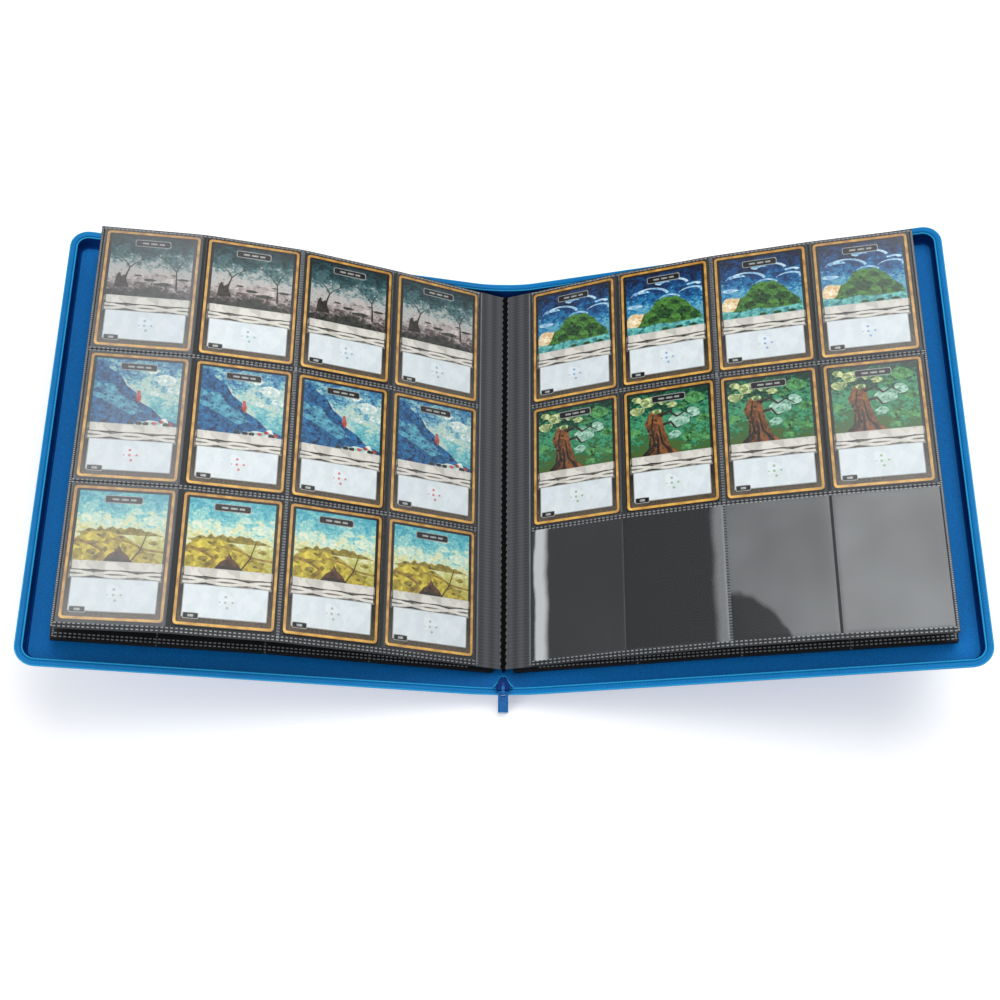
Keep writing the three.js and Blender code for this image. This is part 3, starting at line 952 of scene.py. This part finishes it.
def paint_peaks(art):
    art.clumps("snow", (0.82, 0.72, 0.13), (0.93, 0.56, 0.1), (0.66, 0.86, 0.09), (0.7, 0.5, 0.07),
               squash=0.6)
    art.add("slope", [(0, 0), (0.0, 0.98), (0.1, 0.93), (0.17, 0.84), (0.3, 0.75), (0.38, 0.6), (0.5, 0.5),
                      (0.56, 0.36), (0.7, 0.27), (0.82, 0.14), (1.0, 0.07), (1, 0)])
    art.add("slope_light", [(0.0, 0.66), (0.1, 0.6), (0.22, 0.63), (0.34, 0.44), (0.48, 0.36), (0.6, 0.22),
                            (0.46, 0.16), (0.3, 0.26), (0.12, 0.36), (0.0, 0.42)])
    art.clumps("slope", (0.12, 0.24, 0.05), (0.26, 0.14, 0.05), (0.06, 0.5, 0.05))
    art.clumps("ember", (0.53, 0.44, 0.03), squash=3.2)
    art.hills("snow", 0.0, 0.13, 0.5, 1.0, 12, 0.05)
    art.clumps("ember", (0.74, 0.05, 0.035), (0.82, 0.08, 0.035), (0.93, 0.05, 0.035))
    art.clumps("mire", (0.46, 0.04, 0.04), (0.56, 0.04, 0.04), (0.64, 0.04, 0.04), (0.88, 0.04, 0.04))


def paint_fields(art):
    art.clumps("cloud", (0.16, 0.62, 0.14), (0.42, 0.56, 0.12), (0.86, 0.62, 0.13), (0.66, 0.74, 0.08),
               squash=0.6)
    art.hills("treeline", 0.4, 0.5, 0.0, 1.0, 22, 0.035)
    art.add("meadow", skyline(art.rng, 0.0, 0.44, -0.35, 1.0, 18, 0.015)[1:-1] + [(1, 0), (0, 0)])
    art.clumps("treeline", (0.1, 0.4, 0.05), (0.33, 0.44, 0.04), (0.5, 0.36, 0.04), (0.7, 0.42, 0.05),
               (0.88, 0.3, 0.06), (0.2, 0.14, 0.07), (0.84, 0.12, 0.08), squash=0.6)
    art.strokes("lane", 0.05, 0.03, ((0.0, 0.3), (0.18, 0.26), (0.32, 0.16), (0.3, 0.0)))
    art.strokes("lane", 0.02, 0.035, ((0.4, 0.34), (0.6, 0.3), (0.8, 0.2), (1.0, 0.18)))
    art.add("hut", [(0.34, 0.02), (0.4, 0.12), (0.46, 0.16), (0.5, 0.25), (0.55, 0.16), (0.6, 0.12),
                    (0.66, 0.02)])
    art.strokes("bark", 0.018, 0.01, ((0.64, 0.02), (0.74, 0.2), (0.8, 0.44)))
    art.hills("bark", 0.0, 0.07, 0.28, 0.7, 8, 0.02)


def paint_island(art):
    art.clumps("foam", (0.2, 0.7, 0.12), (0.5, 0.82, 0.1), (0.9, 0.72, 0.1), (0.12, 0.48, 0.1), squash=0.35)
    art.clumps("backdrop", (0.24, 0.66, 0.11), (0.54, 0.79, 0.09), (0.88, 0.69, 0.09), squash=0.35)
    art.add("sunset", skyline(art.rng, 0.14, 0.36, -0.15, 0.42, 9, 0.02)[1:-1] + [(0.42, 0.14), (0, 0.14)])
    for x, y, r in ((0.3, 0.6, 0.26), (0.62, 0.74, 0.2), (0.86, 0.56, 0.18), (0.56, 0.52, 0.14)):
        line = [(x + r * math.cos(t / 8), y + r * 0.6 * math.sin(t / 8)) for t in range(2, 24, 2)]
        art.strokes("foam", 0.04, 0.006, [(min(max(a, 0), 1), b) for a, b in line])
    art.hills("hill", 0.12, 0.6, 0.12, 1.0, 16, 0.04)
    art.clumps("hill_dark", (0.5, 0.3, 0.12), (0.74, 0.3, 0.1), (0.34, 0.22, 0.08), (0.64, 0.46, 0.06),
               (0.88, 0.2, 0.08))
    art.add("sea", [(0, 0), (0, 0.15), (0.2, 0.11), (0.42, 0.15), (0.66, 0.1), (1, 0.14), (1, 0)])
    art.clumps("hill_dark", (0.5, 0.04, 0.05), (0.68, 0.04, 0.05), (0.86, 0.04, 0.05), squash=0.5)


def paint_forest(art):
    art.clumps("glade", (0.62, 0.52, 0.16), (0.8, 0.62, 0.1), (0.56, 0.3, 0.08))
    art.clumps("leaves", (0.84, 0.84, 0.13), (0.93, 0.5, 0.1), (0.76, 0.24, 0.11), (0.66, 0.74, 0.07),
               (0.92, 0.2, 0.09), (0.06, 0.4, 0.09), (0.7, 0.08, 0.08))
    art.add("trunk", [(0.12, 0.0), (0.24, 0.14), (0.24, 0.34), (0.18, 0.52), (0.26, 0.7), (0.4, 0.72),
                      (0.42, 0.5), (0.46, 0.3), (0.5, 0.14), (0.62, 0.0)])
    art.strokes("bark", 0.045, 0.015, ((0.2, 0.0), (0.3, 0.2), (0.27, 0.44), (0.3, 0.66)),
                ((0.52, 0.02), (0.4, 0.2), (0.36, 0.48)), ((0.34, 0.0), (0.35, 0.24), (0.33, 0.36)),
                ((0.16, 0.02), (0.24, 0.12), (0.25, 0.3)))
    art.strokes("bark", 0.05, 0.012, ((0.38, 0.62), (0.5, 0.68), (0.6, 0.58), (0.7, 0.64), (0.8, 0.56)),
                ((0.42, 0.48), (0.52, 0.5), (0.58, 0.4), (0.66, 0.42)))
    art.clumps("canopy", (0.1, 0.74, 0.1), (0.24, 0.86, 0.12), (0.42, 0.88, 0.11), (0.54, 0.78, 0.07),
               (0.1, 0.92, 0.07), (0.34, 0.7, 0.06))


def art_layers(seed, paint):
    art = Picture(seed)
    paint(art)
    return art.layers


PICTURES = {
    "mist": art_layers(3, paint_mist),
    "peaks": art_layers(5, paint_peaks),
    "fields": art_layers(7, paint_fields),
    "island": art_layers(11, paint_island),
    "forest": art_layers(13, paint_forest),
}
ART_LOW, ART_HIGH, ART_HALF = -6.6, 39.9, 27.0
LAYER, FIRST_SHAPE, SHAPE_STEP = 0.012, 2.3, 0.19
TEXT_Y, RIBBON_Y, PLAQUE_Y, TAG_PLACE = -27.4, -11.8, 35.0, (-20.4, -37.0)
EMBLEM = ((0, -23.6, 0.95), (0, -27.2, 0.95), (1.2, -30.6, 0.95), (-3.4, -27.2, 0.5), (4.4, -27.0, 0.8))
PLAQUE_BARS = ((-5.0, 4.2), (0.6, 4.6), (5.8, 3.4))


def add_card(side, row, column, art, looks):
    """A card with its frame, picture, plaque, ribbon and text box, every part a thin raised layer."""
    frame_place = column_placer(side, column)
    sign = SIDES[side]["sign"]
    middle = row_middle(row)
    place = lambda a, b, n: frame_place(sign * a, middle + b, n)
    palette = looks["card"][art]
    slot = {name: k for k, name in enumerate(palette)}
    shape = Sculpt()
    top = CARD_BED + CARD_THICKNESS
    bottom = top - 0.01
    shape.plate(place, rounded(CARD_WIDTH, CARD_HEIGHT, CARD_CORNER), CARD_BED, top, slot["edge"])
    gold = rounded(61.4, 86.4, 2.4), rounded(58.0, 83.0, 1.2)
    shape.ring(place, *gold, bottom, top + 2 * LAYER, slot["gold"])
    spread = lambda u, v: (u / CARD_WIDTH, v / CARD_HEIGHT + 0.5)
    width, height = 2 * ART_HALF, ART_HIGH - ART_LOW
    chart = lambda u, v: ((u + ART_HALF) / width, (v - ART_LOW) / height)

    def layer(name, outline, order, chart=spread):
        shape.plate(place, outline, bottom, top + LAYER * order, slot[name], chart)

    layer("border", rounded(58.2, 83.2, 1.2), 1)
    layer("backdrop", oblong(-ART_HALF, ART_LOW, width, height), 2, chart)
    for order, (name, outline) in enumerate(PICTURES[art]):
        inside = [(min(max(u, 0), 1), min(max(v, 0), 1)) for u, v in outline]
        scaled = [(u * width - ART_HALF, v * height + ART_LOW) for u, v in inside]
        layer(name, scaled, FIRST_SHAPE + SHAPE_STEP * order, chart)
    layer("pale", rounded(56.0, 12.0, 0.8, (0, RIBBON_Y)), 8.4)
    layer("strip", rounded(53.6, 5.6, 0.5, (0.3, RIBBON_Y + 3.2)), 9)
    for bend in (1, -1):
        line = [(x, RIBBON_Y - 2.5 + bend * 1.5 * math.cos(x / 26 * math.pi)) for x in range(-27, 28, 6)]
        layer("strip", stroke(line, 1.7, 1.7), 9.5 + bend * 0.3)
    for y, thickness in ((RIBBON_Y - 0.3, 0.9), (RIBBON_Y - 4.8, 0.8)):
        line = [(x, y + 0.7 * math.sin(x * 0.37)) for x in range(-26, 27, 4)]
        layer("dark", stroke(line, thickness, thickness * 0.5), 9.1, None)
    layer("outline", rounded(52.2, 21.4, 0.5, (0, TEXT_Y)), 9.3)
    layer("box", rounded(51.2, 20.4, 0.4, (0, TEXT_Y)), 9.6)
    for x, y, radius in EMBLEM:
        layer("emblem", oval((x, y), (radius, radius), 8), 10, None)
    layer("outline", rounded(23.4, 5.2, 1.4, (0, PLAQUE_Y)), 9, None)
    layer("dark", rounded(22.4, 4.2, 1.1, (0, PLAQUE_Y)), 9.5, None)
    for x, length in PLAQUE_BARS:
        layer("outline", rounded(length, 1.3, 0.3, (x, PLAQUE_Y)), 10, None)
    layer("outline", rounded(9.6, 4.0, 0.8, TAG_PLACE), 10.2, None)
    layer("dark", rounded(8.8, 3.2, 0.6, TAG_PLACE), 10.6, None)
    layer("outline", rounded(3.6, 1.6, 0.4, TAG_PLACE), 11, None)
    piece = shape.made(f"{side}_card_face_r{row + 1}_c{column + 1}", list(palette.values()), 25)
    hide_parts(f"{side}_card_r{row + 1}_c{column + 1}")
    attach(piece, f"{side}_leaf_{column + 1}")


# ---------------------------------------------------------------- slider and tab


SLIDER_PLATES = ((0.0, 1.3), (2.5, 3.7))
FOLD_LINE = ((6.6, 2.4), (4.9, 3.8), (3.2, 6.2), (1.6, 8.9), (0.2, 9.7))
LUG_HALF, LUG_RADIUS, LUG_BORE = 1.1, 1.9, 1.0
TAB_HALF, TAB_WIDTH, TAB_LENGTH = 0.6, 6.8, 18.7
PIN_RADIUS, PIN_HALF = 0.65, 3.2


def bevelled(piece, width, segments=3):
    modifier = piece.modifiers.new("soften", "BEVEL")
    modifier.width, modifier.segments, modifier.limit_method = width * MM, segments, "ANGLE"
    modifier.angle_limit = math.radians(35)
    return piece


def add_slider(looks):
    """A low dark body that tapers to the back between two rising folds of the zipper's edge."""
    place = lambda x, y, z: (x, SLIDER_Y + y, SLIDER_Z + z)
    half = [(3.4, 0), (4.6, 1.4), (4.5, 3.0), (2.8, 5.6), (1.2, 8.4)]
    waist = half + [(-x, y) for x, y in reversed(half)]
    shape = Sculpt()
    for low, high in SLIDER_PLATES:
        shape.plate(place, waist, low, high)
    shape.plate(place, rounded(2.6, 4.6, 1.0, (0, 4.0)), 1.0, 2.9)
    shape.plate(place, rounded(2.2, 4.0, 0.9, (0, 3.0)), 3.5, 4.1, 1)
    for turn in (-1, 1):
        # The folds use the lighter piping blue, a painted highlight.
        shape.plate(place, stroke([(turn * x, y) for x, y in FOLD_LINE], 0.7, 0.6), 0.1, 3.4, 2)
    piece = shape.made("slider_body", [looks["enamel_dark"], looks["enamel_edge"], looks["highlight_piping"]])
    bevelled(piece, 0.35)
    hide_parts("zipper_slider")
    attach(piece, "slider")

    lug = Sculpt()
    sideways = lambda y, z, x: (x, PIN_Y + y, PIN_Z + z)
    loop, bore = oval((0, 0), (LUG_RADIUS, LUG_RADIUS), 16), oval((0, 0), (LUG_BORE, LUG_BORE), 16)
    lug.ring(sideways, loop, bore, -LUG_HALF, LUG_HALF)
    lug.plate(sideways, [(1.2, -1.6), (4.2, -1.6), (4.2, 0.3), (1.2, 1.0)], -LUG_HALF, LUG_HALF)
    piece = bevelled(lug.made("slider_lug", [looks["enamel"]]), 0.2, 2)
    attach(piece, "slider")


def add_pull_tab(looks):
    """A flat tab with a slotted head, a shallow recess and a pale strip across its tip."""
    droop = math.radians(TAB_DROOP)

    def place(x, y, z):
        along = y * math.cos(droop) - z * math.sin(droop)
        return (x, PIN_Y + along, PIN_Z + y * math.sin(droop) + z * math.cos(droop))

    shape = Sculpt()
    outer = rounded(TAB_WIDTH, TAB_LENGTH, 1.0, (0, 0.7 - TAB_LENGTH / 2))
    shape.ring(place, outer, rounded(3.0, 3.6, 0.6, (0, -1.4)), -TAB_HALF, TAB_HALF)
    shape.ring(place, rounded(5.6, 10.6, 0.8, (0, -10.6)), rounded(4.6, 9.6, 0.6, (0, -10.6)), 0.5, 0.78)
    shape.plate(place, rounded(6.9, 0.9, 0.3, (0, -17.3)), -0.65, 0.68, 1)
    pin = oval((0, 0), (PIN_RADIUS, PIN_RADIUS))
    shape.plate(lambda y, z, x: place(x, y, z), pin, -PIN_HALF, PIN_HALF, 2)
    piece = shape.made("pull_tab_plate", [looks["enamel"], looks["tip"], looks["enamel_edge"]])
    bevelled(piece, 0.15, 2)
    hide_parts("pull_tab")
    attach(piece, "pull_tab")


# ---------------------------------------------------------------- colours


EMBLEMS = {
    "mist": ("emblem_teal", (120, 160, 180), (150, 184, 200)),
    "peaks": ("emblem_red", (190, 84, 90), (208, 120, 120)),
    "fields": ("emblem_grey", (150, 160, 150), (178, 186, 176)),
    "island": ("emblem_blue", (110, 150, 200), (140, 176, 214)),
    "forest": ("emblem_green", (120, 170, 120), (150, 190, 146)),
}
# The bands up each backdrop, how far blotches shift them and how far brush dabs do.
BACKDROPS = {
    "mist": ([(0.0, (26, 28, 26)), (0.16, (96, 84, 84)), (0.36, (190, 184, 180)), (0.5, (170, 176, 174)),
              (0.62, (84, 120, 122)), (0.78, (26, 72, 78)), (1.0, (8, 26, 32))], 0.28, 0.2),
    "peaks": ([(0.0, (70, 150, 166)), (0.3, (110, 186, 192)), (0.55, (196, 210, 194)),
               (0.75, (112, 176, 190)), (1.0, (34, 100, 150))], 0.45, 0.35),
    "fields": ([(0.0, (170, 160, 50)), (0.38, (200, 200, 130)), (0.52, (222, 226, 190)),
                (0.7, (130, 200, 200)), (1.0, (56, 156, 176))], 0.35, 0.3),
    "island": ([(0.0, (30, 110, 140)), (0.3, (110, 180, 200)), (0.48, (26, 120, 170)), (0.68, (6, 66, 122)),
                (1.0, (2, 16, 44))], 0.4, 0.3),
    "forest": ([(0.0, (70, 96, 36)), (0.25, (30, 104, 66)), (0.5, (70, 158, 116)), (0.75, (14, 84, 58)),
                (1.0, (4, 44, 34))], 0.5, 0.45),
}
PAINTS = {
    "bark": ((10, 8, 8), (58, 48, 44)),
    "mire": ((10, 14, 14), (66, 70, 62)),
    "fog": ((120, 110, 112), (206, 198, 194), 9.0),
    "slope": ((2, 22, 66), (34, 116, 170)),
    "slope_light": ((10, 60, 110), (96, 176, 196)),
    "ember": ((130, 40, 40), (206, 96, 78)),
    "snow": ((120, 176, 186), (236, 238, 226)),
    "treeline": ((84, 74, 24), (168, 152, 58)),
    "meadow": ((104, 86, 14), (222, 204, 74), 9.0),
    "lane": ((90, 66, 24), (170, 140, 60)),
    "hut": ((22, 14, 10), (110, 74, 40)),
    "cloud": ((150, 206, 200), (232, 234, 206)),
    "sunset": ((206, 160, 90), (244, 238, 210)),
    "foam": ((70, 150, 200), (206, 232, 240)),
    "hill": ((4, 36, 20), (84, 146, 60)),
    "hill_dark": ((2, 18, 14), (44, 96, 44)),
    "sea": ((10, 100, 110), (120, 204, 196)),
    "glade": ((30, 120, 88), (190, 224, 208)),
    "leaves": ((4, 52, 30), (96, 172, 100)),
    "trunk": ((24, 14, 10), (152, 96, 52), 10.0),
    "canopy": ((36, 96, 44), (222, 230, 166)),
}
BORDER = [(0.0, (92, 80, 64)), (0.14, (60, 52, 42)), (0.3, (26, 26, 26)), (1.0, (18, 20, 22))]


def card_palettes():
    """Each picture's materials by name: the card's own, then those of the painted shapes in it."""
    shared = {
        "edge": speckled("card_edge", (12, 12, 12), (26, 25, 24), 0.4, 400, 0.2),
        "gold": speckled("card_gold", (150, 98, 36), (236, 186, 92), 0.4, 160, 0.2),
        "border": painted("card_border", BORDER, 0.1, 0.12, 20.0),
        "pale": brushed("card_pale", (30, 28, 26), (150, 144, 134), 16.0),
        "strip": brushed("card_strip", (188, 186, 178), (222, 220, 212), 5.0),
        "box": brushed("card_box", (208, 218, 222), (222, 230, 233), 8.0),
        "dark": speckled("card_dark", (8, 8, 9), (22, 21, 21), 0.4, 500, 0.2),
        "outline": speckled("card_outline", (128, 132, 132), (176, 180, 178), 0.4, 500),
    }
    paints = {name: brushed(f"paint_{name}", *colours) for name, colours in PAINTS.items()}
    palettes = {}
    for kind, shapes in PICTURES.items():
        palette = dict(shared)
        palette["emblem"] = speckled(*EMBLEMS[kind], 0.4, 500)
        palette["backdrop"] = painted(f"paint_{kind}", *BACKDROPS[kind])
        used = {name for name, _ in shapes}
        palette.update({name: paint for name, paint in paints.items() if name in used})
        palettes[kind] = palette
    return palettes


# Painted glare on the right foot row's empty pockets, for each column: how strong, and the shape of the
# bright patch.
EMPTY_FILMS = ((0.01, glare_at_start), (0.0, glare_at_end), (0.1, glare_with_corner), (0.13, None))


def film_looks():
    """The films' materials for each column, one for each row of pockets; the right foot row is empty."""
    found = {}
    for side, facts in SIDES.items():
        for column, painted_glare in enumerate(facts["painted_glare"]):
            rows = [clear_film(f"film_{side}_{column + 1}", painted_glare)] * ROWS
            if side == "right":
                rows[-1] = clear_film(f"film_empty_{column + 1}", *EMPTY_FILMS[column])
            found[side, column] = rows
    return found


looks = {
    "shell": leatherette("blue_leatherette", (0, 66, 126), (6, 108, 182), 0.46),
    "lining": leatherette("blue_lining", (0, 86, 156), (0, 116, 194), 0.6, 1300, 0.00012),
    # Lighter than the lining: painted highlight on the piping, the rim's outer lip and the slider's folds.
    "highlight_piping": leatherette("blue_piping_highlight", (10, 124, 190), (40, 160, 214), 0.4, 1600, 0.0001),
    # Darker than the lining: painted shade for the shadow on the rim's inner wall.
    "wall": woven("inner_gusset_painted_shade", (0, 46, 112), (1, 66, 140), 0.8, 0.9),
    "outer_wall": woven("blue_gusset", (0, 60, 124), (4, 90, 160), 0.8, 0.9),
    "tape": woven("zip_tape", (4, 108, 176), (18, 142, 206), 0.6, 0.7),
    "teeth": speckled("zip_teeth", (2, 96, 166), (10, 124, 192), 0.45, 900, 0.2),
    "stitch": speckled("blue_thread", (10, 84, 160), (44, 140, 212), 0.6, 1500),
    "sheet": ribbed_sheet("page_sheet"),
    # Darker than the top leaf's sheet: painted shade for the leaves lying under the top leaf.
    "lower": speckled("lower_sheet_painted_shade", (20, 21, 22), (34, 35, 37), 0.42, 1800, 0.2),
    "weld": speckled("weld_bright", (104, 108, 112), (160, 164, 168), 0.35, 2500),
    "weld_dim": speckled("weld_dim", (84, 88, 94), (124, 128, 134), 0.35, 2500),
    "tape_black": woven("binding_tape", (6, 6, 7), (18, 18, 19), 0.85, 0.8),
    "thread": speckled("binding_thread", (2, 2, 3), (9, 9, 10), 0.85, 1800, 0.1),
    "enamel_dark": speckled("enamel_navy", (0, 34, 92), (0, 50, 122), 0.5, 500, 0.08),
    "enamel": speckled("enamel_blue", (2, 84, 152), (10, 108, 180), 0.42, 400, 0.25),
    "enamel_edge": speckled("enamel_mid_blue", (0, 50, 120), (2, 72, 150), 0.45, 700, 0.15),
    "tip": speckled("tab_tip", (120, 160, 190), (180, 206, 222), 0.35, 500),
    "card": card_palettes(),
    "films": film_looks(),
}


# ---------------------------------------------------------------- stage


FLOOR_HALF, FLOOR_Z = 6.0, -0.0006


def add_camera():
    data = bpy.data.cameras.new("camera")
    data.lens, data.sensor_width = 49.104, 36.0
    data.clip_start, data.clip_end = 0.02, 50.0
    camera = bpy.data.objects.new("camera", data)
    camera.location = metres((-0.7, -361.9, 893.5))
    camera.rotation_euler = (math.radians(90 - 68.57), 0, math.radians(0.37))
    bpy.context.scene.collection.objects.link(camera)
    bpy.context.scene.camera = camera


def add_light(name, place, size, power):
    """A square light over the binder, in metres, aimed at its middle."""
    data = bpy.data.lights.new(name, "AREA")
    data.shape, data.size, data.energy = "SQUARE", size, power
    light = bpy.data.objects.new(name, data)
    light.location = place
    aim = Vector((0, 0, 0.05)) - Vector(place)
    light.rotation_euler = aim.to_track_quat("-Z", "Y").to_euler()
    bpy.context.scene.collection.objects.link(light)


def add_stage():
    mesh = bpy.data.meshes.new("floor")
    shape = bmesh.new()
    bmesh.ops.create_grid(shape, x_segments=2, y_segments=2, size=FLOOR_HALF)
    shape.to_mesh(mesh)
    shape.free()
    floor = bpy.data.objects.new("floor", mesh)
    floor.location.z = FLOOR_Z
    bpy.context.scene.collection.objects.link(floor)
    look = Look("pale_floor", (255, 255, 255), 0.9)
    look.set("Base Color", (0.9, 0.9, 0.9, 1))
    look.set("Emission Color", (1, 1, 1, 1))
    look.set("Emission Strength", 0.35)
    mesh.materials.append(look.material)
    world = bpy.data.worlds.new("studio")
    world.use_nodes = True
    background = world.node_tree.nodes["Background"]
    background.inputs["Color"].default_value = (1, 1, 1, 1)
    background.inputs["Strength"].default_value = 0.5
    bpy.context.scene.world = world
    add_light("key", (0.35, 0.5, 1.7), 1.3, 27)
    add_light("fill", (-0.9, -0.9, 1.3), 1.2, 12)
    bpy.context.scene.view_settings.view_transform = "Standard"
    bpy.context.scene.view_settings.exposure = -0.35


add_camera()
for half in SIDES:
    add_cover(half, looks)
    add_lower_leaves(half, looks)
    add_top_leaf(half, looks)
add_binding(looks)
add_root_strips(looks)
add_slider(looks)
add_pull_tab(looks)
add_stage()
